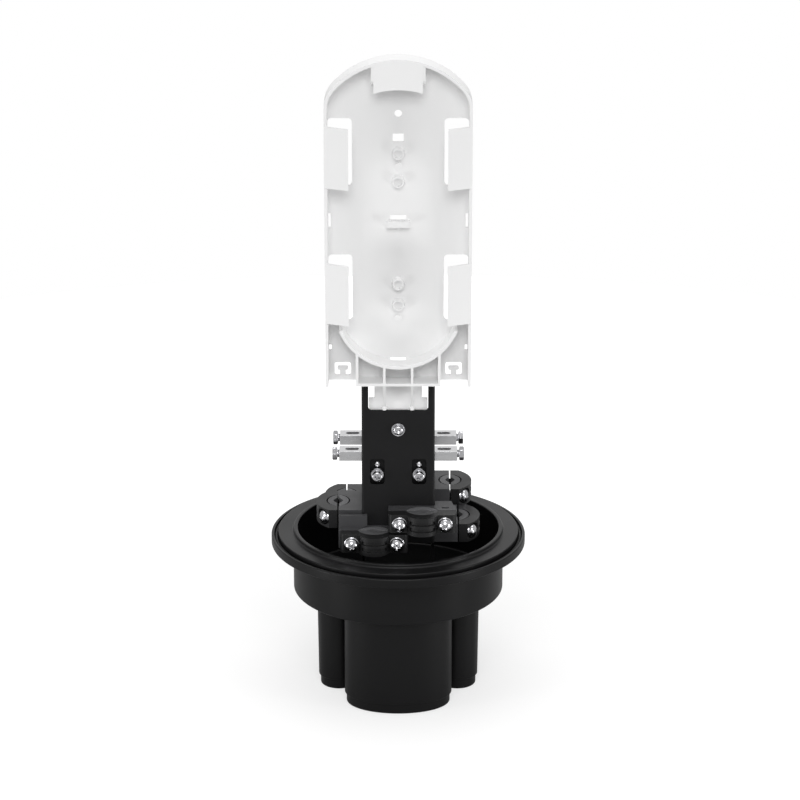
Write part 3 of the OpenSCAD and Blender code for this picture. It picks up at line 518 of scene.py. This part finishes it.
def recess_cutter(size_mm, width_mm, depth_mm, top_mm):
    """Tapered cross that a driver leaves free, cut down from top_mm."""
    bm = bmesh.new()
    for turn in (0, math.pi / 2):
        spin = Matrix.Rotation(turn, 3, "Z")
        corners = []
        for z, half, thick in ((top_mm + 0.6, size_mm / 2 * 1.12, width_mm / 2 * 1.15),
                               (top_mm - depth_mm, size_mm / 2 * 0.45, width_mm / 2 * 0.6)):
            corners.append([bm.verts.new(spin @ Vector((x * half / 1000, y * thick / 1000, z / 1000)))
                            for x, y in ((-1, -1), (1, -1), (1, 1), (-1, 1))])
        top, low = corners
        bm.faces.new(top)
        bm.faces.new(low[::-1])
        for k in range(4):
            bm.faces.new((low[k], low[(k + 1) % 4], top[(k + 1) % 4], top[k]))
    return mesh_object("driver_cross", bm)


def domed_screw(name, head, shank, recess, steps=40):
    """Screw with its seat at z = 0. head holds its profile points, shank is (radius, length)."""
    bm = bmesh.new()
    turned(bm, [(0, -shank[1]), (shank[0] - 0.3, -shank[1]), (shank[0], -shank[1] + 0.4), (shank[0], 0)] + head,
           steps)
    screw = mesh_object(name, bm)
    top = head[-1][1]
    for size, width, depth in recess:
        cross = recess_cutter(size, width, depth, top)
        cut = screw.modifiers.new("recess", "BOOLEAN")
        cut.operation, cut.object, cut.solver, cut.use_self = "DIFFERENCE", cross, "EXACT", True
        settled(screw, even=False)
        bpy.data.objects.remove(cross)
    crisp(screw, 34)
    return settled(screw)


def dome_profile(radius, side, height, count=9, start=0.0):
    """Head profile: a straight side and then a dome that ends on the axis."""
    points = [(radius - 0.25, start), (radius, start + 0.25), (radius, start + side)]
    for k in range(1, count + 1):
        a = math.pi / 2 * k / count
        points.append((radius * math.cos(a) ** 0.9 if k < count else 0.0,
                       start + side + (height - side) * math.sin(a)))
    return points


row_tree = bpy.data.node_groups.new("fastener_row", "GeometryNodeTree")
row_sockets = {label: row_tree.interface.new_socket(label, in_out="INPUT", socket_type=kind).identifier
               for label, kind in (("Fastener", "NodeSocketObject"), ("Count", "NodeSocketInt"),
                                   ("Start", "NodeSocketVector"), ("Pitch", "NodeSocketVector"),
                                   ("Turn", "NodeSocketFloat"), ("Seed", "NodeSocketInt"),
                                   ("Finish", "NodeSocketMaterial"))}
row_tree.interface.new_socket("Geometry", in_out="OUTPUT", socket_type="NodeSocketGeometry")
nodes, links = row_tree.nodes, row_tree.links
row_in, row_out = nodes.new("NodeGroupInput"), nodes.new("NodeGroupOutput")
row_line = nodes.new("GeometryNodeMeshLine")
row_line.mode = "OFFSET"
links.new(row_in.outputs["Count"], row_line.inputs["Count"])
links.new(row_in.outputs["Start"], row_line.inputs["Start Location"])
links.new(row_in.outputs["Pitch"], row_line.inputs["Offset"])
row_object = nodes.new("GeometryNodeObjectInfo")
row_object.inputs["As Instance"].default_value = True
links.new(row_in.outputs["Fastener"], row_object.inputs["Object"])
row_random = nodes.new("FunctionNodeRandomValue")
row_random.data_type = "FLOAT"
row_random.inputs[2].default_value = -1
row_random.inputs[3].default_value = 1
links.new(row_in.outputs["Seed"], row_random.inputs["Seed"])
row_turn = nodes.new("ShaderNodeMath")
row_turn.operation = "MULTIPLY"
links.new(row_random.outputs[1], row_turn.inputs[0])
links.new(row_in.outputs["Turn"], row_turn.inputs[1])
row_axis = nodes.new("ShaderNodeCombineXYZ")
links.new(row_turn.outputs[0], row_axis.inputs["Z"])
row_points = nodes.new("GeometryNodeInstanceOnPoints")
links.new(row_line.outputs["Mesh"], row_points.inputs["Points"])
links.new(row_object.outputs["Geometry"], row_points.inputs["Instance"])
links.new(row_axis.outputs[0], row_points.inputs["Rotation"])
row_real = nodes.new("GeometryNodeRealizeInstances")
row_finish = nodes.new("GeometryNodeSetMaterial")
links.new(row_points.outputs[0], row_real.inputs[0])
links.new(row_real.outputs[0], row_finish.inputs["Geometry"])
links.new(row_in.outputs["Finish"], row_finish.inputs["Material"])
links.new(row_finish.outputs[0], row_out.inputs[0])


def fastener_row(name, fastener, count, pitch_mm, places, finish, turn=0.7, seed=3):
    """Plain mesh of the same row of fasteners at each of the places, which are matrices in metres."""
    bm = bmesh.new()
    for k, place in enumerate(places):
        holder = bpy.data.objects.new(name + "_row", bpy.data.meshes.new(name + "_row"))
        scene.collection.objects.link(holder)
        row = holder.modifiers.new("row", "NODES")
        row.node_group = row_tree
        start = [-p * (count - 1) / 2000 for p in pitch_mm]
        for label, value in (("Fastener", fastener), ("Count", count), ("Start", start),
                             ("Pitch", [p / 1000 for p in pitch_mm]), ("Turn", turn), ("Seed", seed + k),
                             ("Finish", finish)):
            row[row_sockets[label]] = value
        bpy.context.view_layer.update()
        plain = bpy.data.meshes.new_from_object(holder.evaluated_get(bpy.context.evaluated_depsgraph_get()))
        plain.transform(place)
        bm.from_mesh(plain)
        bpy.data.objects.remove(holder)
    mesh = bpy.data.meshes.new(name)
    bm.to_mesh(mesh)
    bm.free()
    piece = bpy.data.objects.new(name, mesh)
    scene.collection.objects.link(piece)
    dress(piece, finish)
    crisp(piece, 34)
    return piece


def plated_finish(name, colour, rough, grain, streak, depth_mm):
    """Bright metal with fine marks; streak stretches them along X for brushed stock."""
    material = bpy.data.materials.new(name)
    material.use_nodes = True
    nodes, links = material.node_tree.nodes, material.node_tree.links
    surface = nodes["Principled BSDF"]
    surface.inputs["Metallic"].default_value = 1
    place = nodes.new("ShaderNodeTexCoord")
    stretch = nodes.new("ShaderNodeMapping")
    stretch.inputs["Scale"].default_value = (streak, 1, 1)
    links.new(place.outputs["Object"], stretch.inputs["Vector"])
    skin = nodes.new("ShaderNodeGroup")
    skin.node_tree = skin_group
    skin.inputs["Grain"].default_value = grain
    skin.inputs["Wave"].default_value = grain / 12
    skin.inputs["Wave Share"].default_value = 0.4
    links.new(stretch.outputs[0], skin.inputs["Vector"])
    tone = nodes.new("ShaderNodeMix")
    tone.data_type = "RGBA"
    tone.inputs["A"].default_value = [c * 0.88 for c in colour] + [1]
    tone.inputs["B"].default_value = [min(c * 1.08, 1) for c in colour] + [1]
    links.new(skin.outputs["Height"], tone.inputs["Factor"])
    links.new(tone.outputs["Result"], surface.inputs["Base Color"])
    roughness = nodes.new("ShaderNodeMapRange")
    roughness.inputs["From Min"].default_value = 0.3
    roughness.inputs["From Max"].default_value = 0.7
    roughness.inputs["To Min"].default_value = rough * 0.8
    roughness.inputs["To Max"].default_value = rough * 1.25
    links.new(skin.outputs["Height"], roughness.inputs["Value"])
    links.new(roughness.outputs["Result"], surface.inputs["Roughness"])
    bump = nodes.new("ShaderNodeBump")
    bump.inputs["Strength"].default_value = 0.3
    bump.inputs["Distance"].default_value = depth_mm / 1000
    links.new(skin.outputs["Height"], bump.inputs["Height"])
    links.new(bump.outputs["Normal"], surface.inputs["Normal"])
    return material


def at(x_mm, y_mm, z_mm, *turns):
    """Place in metres, turned about the named axes in the order given."""
    matrix = Matrix.Translation((x_mm / 1000, y_mm / 1000, z_mm / 1000))
    for degrees, axis in turns:
        matrix = matrix @ Matrix.Rotation(math.radians(degrees), 4, axis)
    return matrix


zinc_plate = plated_finish("zinc_plate", (0.66, 0.66, 0.68), 0.24, 1800, 1, 0.02)
sheet_mm = 1.5
foot_top_mm = floor_mm + 4 + sheet_mm
foot_screw = domed_screw("foot_screw", dome_profile(3.6, 0.8, 2.4), (2, 5), [(4.0, 0.9, 1.5)])
foot_screws = fastener_row("bracket_foot_screws", foot_screw, 2, (0, 18, 0),
                           [at(-15, 0, foot_top_mm), at(15, 0, foot_top_mm)], zinc_plate)
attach(foot_screws, "closure")
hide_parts("bracket_screws")

# name: cable axis x and y, top above the lip, turn of the clamp about Z
clamps = {"front_left": (-15.6, -38.8, 16.2, 0), "front_right": (15.6, -38.8, 30, 0),
          "near_left": (-39.4, -10, 26, -90), "near_right": (39.4, -10, 16.2, 90),
          "far_left": (-34.6, 28, 16.2, -90), "far_right": (34.6, 28, 26, 90)}
clamp_h_mm, bracket_half_mm, bracket_front_mm = 12.5, 23.7, 29.8
seat_screw = domed_screw("seat_screw", dome_profile(2.8, 0.6, 2.0), (1.5, sheet_mm + 3.4), [(3.2, 0.7, 1.2)])
side_rows, front_rows = [], []
for clamp, (x, y, top, turn) in clamps.items():
    depth = bracket_front_mm and (abs(y) - bracket_front_mm if turn == 0 else abs(x) - bracket_half_mm)
    mid = lip_mm + top - clamp_h_mm / 2
    frame_place = at(x, y, mid, (turn, "Z"))
    offset = {"front_left": 8.5, "front_right": -8.5}.get(clamp, 0)
    row_place = frame_place @ at(offset, depth + sheet_mm, 0, (-90, "X"))
    (front_rows if turn == 0 else side_rows).append(row_place)
seat_screws = fastener_row("clamp_seat_pan_screws", seat_screw, 2, (17, 0, 0), side_rows, zinc_plate, seed=11)
upright_screws = fastener_row("front_seat_pan_screws", seat_screw, 2, (0, 6.6, 0), front_rows, zinc_plate, seed=19)
for piece in (seat_screws, upright_screws):
    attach(piece, "closure")
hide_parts("clamp_seat_screws")

# ---- Strength member bars ----
# Two bright bars pass through the bracket's side walls. A cable's strength member goes into the long
# hole near each end, and a hexagon bolt in the end of the bar pinches it.
bar_metal = plated_finish("brushed_bar_metal", (0.7, 0.7, 0.71), 0.3, 2600, 0.04, 0.03)
for node, name, forward_mm in (("front_bar", "front_strength_bar", 30), ("rear_bar", "rear_strength_bar", 0)):
    bar = pressed("rear_bar", name, 0.3)
    bar.data.transform(Matrix.Translation((0, -forward_mm / 1000, 0)))
    dress(bar, bar_metal)
    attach(bar, "closure")
    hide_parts(node)


def hexed(bm, levels_mm, flats_mm, steps=72):
    """Adds a closed hexagon shell; each level is (height, largest radius), which rounds the corners off."""
    rings = []
    for height, most in levels_mm:
        ring = []
        for k in range(steps):
            a = 2 * math.pi * k / steps
            flat = flats_mm / 2 / math.cos((a + math.pi / 6) % (math.pi / 3) - math.pi / 6)
            r = min(flat, most)
            ring.append(bm.verts.new((r * math.cos(a) / 1000, r * math.sin(a) / 1000, height / 1000)))
        rings.append(ring)
    for low, high in zip(rings, rings[1:]):
        for k in range(steps):
            bm.faces.new((low[k], low[(k + 1) % steps], high[(k + 1) % steps], high[k]))
    bm.faces.new(rings[0])
    bm.faces.new(rings[-1])


# a rolled thread: a spiral with a three-sided ridge, on a plain core
thread_tree = bpy.data.node_groups.new("rolled_thread", "GeometryNodeTree")
thread_sockets = {label: thread_tree.interface.new_socket(label, in_out="INPUT", socket_type=kind).identifier
                  for label, kind in (("Radius", "NodeSocketFloat"), ("Length", "NodeSocketFloat"),
                                      ("Turns", "NodeSocketFloat"), ("Ridge", "NodeSocketFloat"),
                                      ("Finish", "NodeSocketMaterial"))}
thread_tree.interface.new_socket("Geometry", in_out="OUTPUT", socket_type="NodeSocketGeometry")
nodes, links = thread_tree.nodes, thread_tree.links
thread_in, thread_out = nodes.new("NodeGroupInput"), nodes.new("NodeGroupOutput")
spiral = nodes.new("GeometryNodeCurveSpiral")
spiral.inputs["Resolution"].default_value = 28
links.new(thread_in.outputs["Turns"], spiral.inputs["Rotations"])
links.new(thread_in.outputs["Radius"], spiral.inputs["Start Radius"])
links.new(thread_in.outputs["Radius"], spiral.inputs["End Radius"])
links.new(thread_in.outputs["Length"], spiral.inputs["Height"])
ridge = nodes.new("GeometryNodeCurvePrimitiveCircle")
ridge.inputs["Resolution"].default_value = 4
links.new(thread_in.outputs["Ridge"], ridge.inputs["Radius"])
ridge_mesh = nodes.new("GeometryNodeCurveToMesh")
ridge_mesh.inputs["Fill Caps"].default_value = True
links.new(spiral.outputs[0], ridge_mesh.inputs["Curve"])
links.new(ridge.outputs[0], ridge_mesh.inputs["Profile Curve"])
thread_real = nodes.new("GeometryNodeRealizeInstances")
thread_finish = nodes.new("GeometryNodeSetMaterial")
links.new(ridge_mesh.outputs[0], thread_real.inputs[0])
links.new(thread_real.outputs[0], thread_finish.inputs["Geometry"])
links.new(thread_in.outputs["Finish"], thread_finish.inputs["Material"])
links.new(thread_finish.outputs[0], thread_out.inputs[0])


def threaded(screw, radius_mm, length_mm, pitch_mm, finish):
    """Adds a rolled thread below z = 0 to a screw's mesh."""
    holder = bpy.data.objects.new("thread", bpy.data.meshes.new("thread"))
    scene.collection.objects.link(holder)
    thread = holder.modifiers.new("thread", "NODES")
    thread.node_group = thread_tree
    for label, value in (("Radius", (radius_mm - pitch_mm * 0.2) / 1000), ("Length", length_mm / 1000),
                         ("Turns", length_mm / pitch_mm), ("Ridge", pitch_mm * 0.42 / 1000), ("Finish", finish)):
        thread[thread_sockets[label]] = value
    bpy.context.view_layer.update()
    plain = bpy.data.meshes.new_from_object(holder.evaluated_get(bpy.context.evaluated_depsgraph_get()))
    plain.transform(Matrix.Translation((0, 0, -length_mm / 1000)))
    bm = bmesh.new()
    bm.from_mesh(screw.data)
    bm.from_mesh(plain)
    bmesh.ops.recalc_face_normals(bm, faces=bm.faces)
    bm.to_mesh(screw.data)
    bm.free()
    bpy.data.objects.remove(holder)
    return screw


bolt_metal = plated_finish("nickel_plate", (0.62, 0.62, 0.64), 0.17, 1500, 1, 0.012)
bolt_bm = bmesh.new()
hexed(bolt_bm, [(0, 3.7), (0.2, 3.85), (0.22, 4.5), (0.45, 4.62), (2.65, 4.62), (3.0, 4.3), (3.2, 3.75),
                (3.14, 3.0)], 8)
turned(bolt_bm, [(0, -5.1), (1.9, -5.1), (2.2, -4.7), (2.2, 0.1), (0, 0.1)], 40)
bar_bolt = threaded(mesh_object("bar_bolt", bolt_bm), 2.5, 4.9, 0.8, bolt_metal)
for side, word in ((-1, "left"), (1, "right")):
    for row, row_word in ((0, "front"), (1, "rear")):
        node = f"{row_word}_{word}_bar_bolt"
        bolt = fastener_row(f"{row_word}_{word}_pinch_bolt", bar_bolt, 1, (0, 0, 0),
                            [at(side * 39.7, -18.5 + 30 * row, lip_mm + 62.15, (side * 90, "Y"), (14 + 23 * row, "Z"))],
                            bolt_metal, turn=0.4, seed=5 + row)
        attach(bolt, f"{row_word}_{word}_bolt")
        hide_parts(node)

# ---- Lug blocks, their painted shade sheets, bolts and screws ----
# Two lug blocks below the front bar show through the bracket's windows and hold the bolts. Their black,
# and the thin black sheet in front of each, are painted shade: they darken the upper part of each window,
# where the bright bar would show. A collared bolt with a cross recess pinches a strength member in each,
# and a small pan screw above it locks it.
lug_and_shade_sheet_bm = bmesh.new()
for side in (-1, 1):
    # first the lug block, then the thin black sheet in front of it, which is painted shade over the window
    for y_mm, depth_mm, foot_mm, height_mm in ((-24, 11, 43, 15.9), (-25.2, 1.3, 43, 18.5)):
        block = bmesh.ops.create_cube(lug_and_shade_sheet_bm, size=1)["verts"]
        bmesh.ops.scale(lug_and_shade_sheet_bm, vec=(0.0104, depth_mm / 1000, height_mm / 1000), verts=block)
        bmesh.ops.translate(lug_and_shade_sheet_bm, verts=block, vec=(side * 0.0136, (y_mm + depth_mm / 2) / 1000,
                                                      (lip_mm + foot_mm + height_mm / 2) / 1000))
lugs_and_shade_sheets = mesh_object("bar_lugs", lug_and_shade_sheet_bm)
lug_corner = lugs_and_shade_sheets.modifiers.new("corner", "BEVEL")
lug_corner.width, lug_corner.segments, lug_corner.harden_normals = 0.0003, 2, True
settled(lugs_and_shade_sheets)
# the powder coat black on these blocks and sheets is painted shade for the windows
dress(lugs_and_shade_sheets, powder_coat)
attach(lugs_and_shade_sheets, "closure")
lug_bolt_bm = bmesh.new()
turned(lug_bolt_bm, [(0, -6.4), (2.1, -6.4), (2.3, -6.1), (2.3, -2.8), (3.4, -2.8), (3.4, -1.1), (4.1, -1.1),
                     (4.3, -0.9), (4.3, -0.25), (4.05, 0), (3.2, 0), (3.2, 4.4), (3.05, 4.9), (2.6, 5.2),
                     (0, 5.25)], 48)
lug_bolt = mesh_object("lug_bolt_blank", lug_bolt_bm)
cross = recess_cutter(3.9, 1.0, 1.6, 5.25)
cut = lug_bolt.modifiers.new("recess", "BOOLEAN")
cut.operation, cut.object, cut.solver, cut.use_self = "DIFFERENCE", cross, "EXACT", True
settled(lug_bolt, even=False)
bpy.data.objects.remove(cross)
crisp(lug_bolt, 34)
lug_screw = domed_screw("lug_screw", dome_profile(2.0, 0.6, 1.6), (1.25, 2.4), [(2.3, 0.6, 1.0)])
lug_screws = fastener_row("bar_lug_pan_screws", lug_screw, 2, (27.2, 0, 0),
                          [at(0, -25.2, lip_mm + 57.1, (90, "X"))], zinc_plate, turn=0.5, seed=2)
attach(lug_screws, "closure")
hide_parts("bar_lug_screws")
for side, word in ((-1, "left"), (1, "right")):
    bolt = fastener_row(f"{word}_lug_pinch_bolt", lug_bolt, 1, (0, 0, 0),
                        [at(side * 13.6, -28.3, lip_mm + 51, (90, "X"), (22 * side, "Z"))], bolt_metal,
                        turn=0.2, seed=7)
    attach(bolt, f"{word}_lug_bolt_body")
    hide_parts(f"{word}_lug_bolt")

# ---- Cable clamps ----
# Six clamps at alternating heights, each a moulded seat screwed to the bracket and a ribbed cap over
# it, with a split insert of softer plastic between them that grips the cable.
seat_grey = skinned_finish("clamp_seat_grey", (0.055, 0.055, 0.058), (0.1, 0.1, 0.1), 0.42, 1800, 60, 0.25,
                           0.05, 0.3, 0.3)
cap_black = skinned_finish("clamp_cap_black", (0.011, 0.011, 0.0115), (0.06, 0.06, 0.06), 0.4, 1800, 60, 0.25,
                           0.05, 0.4, 0.3)
insert_light = skinned_finish("inner_insert_grey", (0.13, 0.13, 0.135), (0.2, 0.2, 0.2), 0.5, 1500, 90, 0.3,
                              0.05, 0.2, 0.3)
insert_dark = skinned_finish("outer_insert_grey", (0.085, 0.085, 0.088), (0.15, 0.15, 0.15), 0.5, 1500, 90, 0.3,
                             0.05, 0.2, 0.3)
for clamp in clamps:
    for node, name, corner, finish, body, slot in (
            (clamp + "_clamp_seat", clamp + "_seat_moulding", 0.35, seat_grey, "closure", "clamp_seat"),
            (clamp + "_inner_insert", clamp + "_seat_insert", 0.15, insert_light, "closure", "insert"),
            (clamp + "_clamp_cap", clamp + "_cap_moulding", 0.35, cap_black, clamp + "_cap_set", "clamp_cap"),
            (clamp + "_outer_insert", clamp + "_cap_insert", 0.15, insert_dark, clamp + "_cap_set", "insert")):
        piece = pressed(node, name, corner)
        dress(piece, finish)
        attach(piece, body)
        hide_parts(node)

# ---- Cap screws ----
# Two bright pan screws with a fixed washer hold each cap, through it and into the seat. They come out
# with the cap, held by their washers.
washer_mm = [(4.6, 0), (4.85, 0.22), (4.85, 0.88), (4.68, 1.06), (4.15, 1.1), (4.1, 1.32)]
cap_head = washer_mm + [(4.42, 1.42), (4.6, 1.62), (4.6, 3.3)]
for k in range(1, 11):
    a = math.acos((5.27 - 2.9) / 5.27) * (1 - k / 10)
    cap_head.append((5.27 * math.sin(a) * 0.985 if k < 10 else 0.0, 6.2 - 5.27 * (1 - math.cos(a))))
for front, ear, spacing in ((True, 8, 29.4), (False, 6, 26)):
    cap_screw = threaded(domed_screw("cap_screw", cap_head, (2.0, ear + 7.5), [(4.6, 1.05, 2.3)], 48),
                         1.95, 6, 0.7, bolt_metal)
    for clamp, (x, y, top, turn) in clamps.items():
        if (turn == 0) != front:
            continue
        place = at(x, y, lip_mm + top - clamp_h_mm / 2, (turn, "Z")) @ at(0, -ear, 0, (90, "X"))
        screws = fastener_row(clamp + "_cap_pan_screws", cap_screw, 2, (spacing, 0, 0), [place], bolt_metal,
                              turn=0.8, seed=len(clamp) * 7 + int(top))
        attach(screws, clamp + "_cap_set")
        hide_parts(clamp + "_cap_screws")
    bpy.data.objects.remove(cap_screw)

# ---- Fibre basket ----
# A white moulded tray with an arched top, flaps that keep the loops of fibre in, a curved guide above
# the box frame, and a tongue that fits behind the bracket's notch.
basket = pressed("basket", "fibre_basket_moulding", 0.3)
if "custom_normal" in basket.data.attributes:      # flat walls stay flat up to their small rounds
    basket.data.attributes.remove(basket.data.attributes["custom_normal"])
for wall in basket.data.polygons:
    wall.use_smooth = wall.area < 12e-6
dress(basket, skinned_finish("basket_white", (0.86, 0.86, 0.86), (0.9, 0.9, 0.9), 0.42, 1500, 25, 0.2,
                             0.04, 0.0, 0.35, tone_spread=0.012))
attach(basket, "closure")
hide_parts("basket")

# ---- Basket screw and nut ----
# A bright flanged screw through the bracket's plate, with its nut behind the tongue, holds the basket.
flanged_head = [(4.2, 0), (4.4, 0.2), (4.4, 0.8), (4.25, 0.98), (3.8, 1.0), (3.62, 0.72), (3.3, 0.7),
                (3.3, 1.5), (3.1, 2.1), (2.6, 2.6), (1.8, 2.9), (0.9, 3.03), (0, 3.06)]
basket_head = domed_screw("basket_screw", flanged_head, (2.5, 5.2), [(3.9, 0.95, 1.8)], 48)
basket_screw = fastener_row("basket_flange_screw", basket_head, 1, (0, 0, 0),
                            [at(0, -bracket_front_mm, lip_mm + 82.8, (90, "X"))], bolt_metal, turn=0.3, seed=4)
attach(basket_screw, "closure")
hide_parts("basket_screw")
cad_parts["basket_nut"].data.materials.clear()
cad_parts["basket_nut"].data.materials.append(zinc_plate)
for pattern in (foot_screw, seat_screw, bar_bolt, lug_bolt, lug_screw, basket_head):
    bpy.data.objects.remove(pattern)
